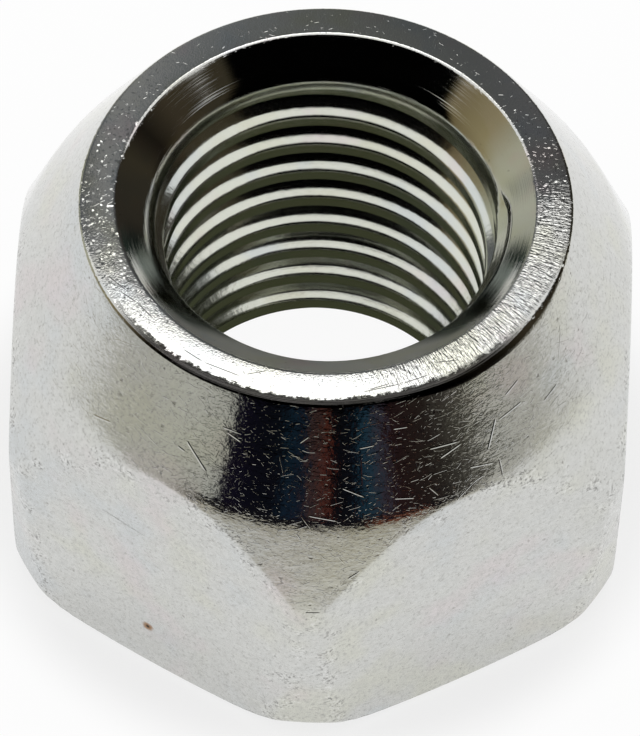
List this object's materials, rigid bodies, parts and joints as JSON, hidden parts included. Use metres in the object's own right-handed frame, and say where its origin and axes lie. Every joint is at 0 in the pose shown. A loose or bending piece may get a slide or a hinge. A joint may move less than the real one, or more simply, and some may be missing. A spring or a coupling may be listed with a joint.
{
  "type": "lug nut",
  "caption": "Open-ended wheel lug nut with a hex body, a 60 degree conical seat on its nose and a threaded through bore countersunk at both ends.",
  "frame": {"origin": "centre of the hex base face, on the bore axis", "axes": "+Z along the bore from the base to the seat cone; a hex corner points to -Y and two flats face +X and -X"},
  "size_m": [0.0204, 0.0232, 0.015],
  "materials": {
    "zinc_plated_steel": "clear zinc plating with fine handling scratches, brighter on the turned rim"
  },
  "bodies": {
    "root": {"lug_nut": "zinc_plated_steel"}
  },
  "joints": []
}
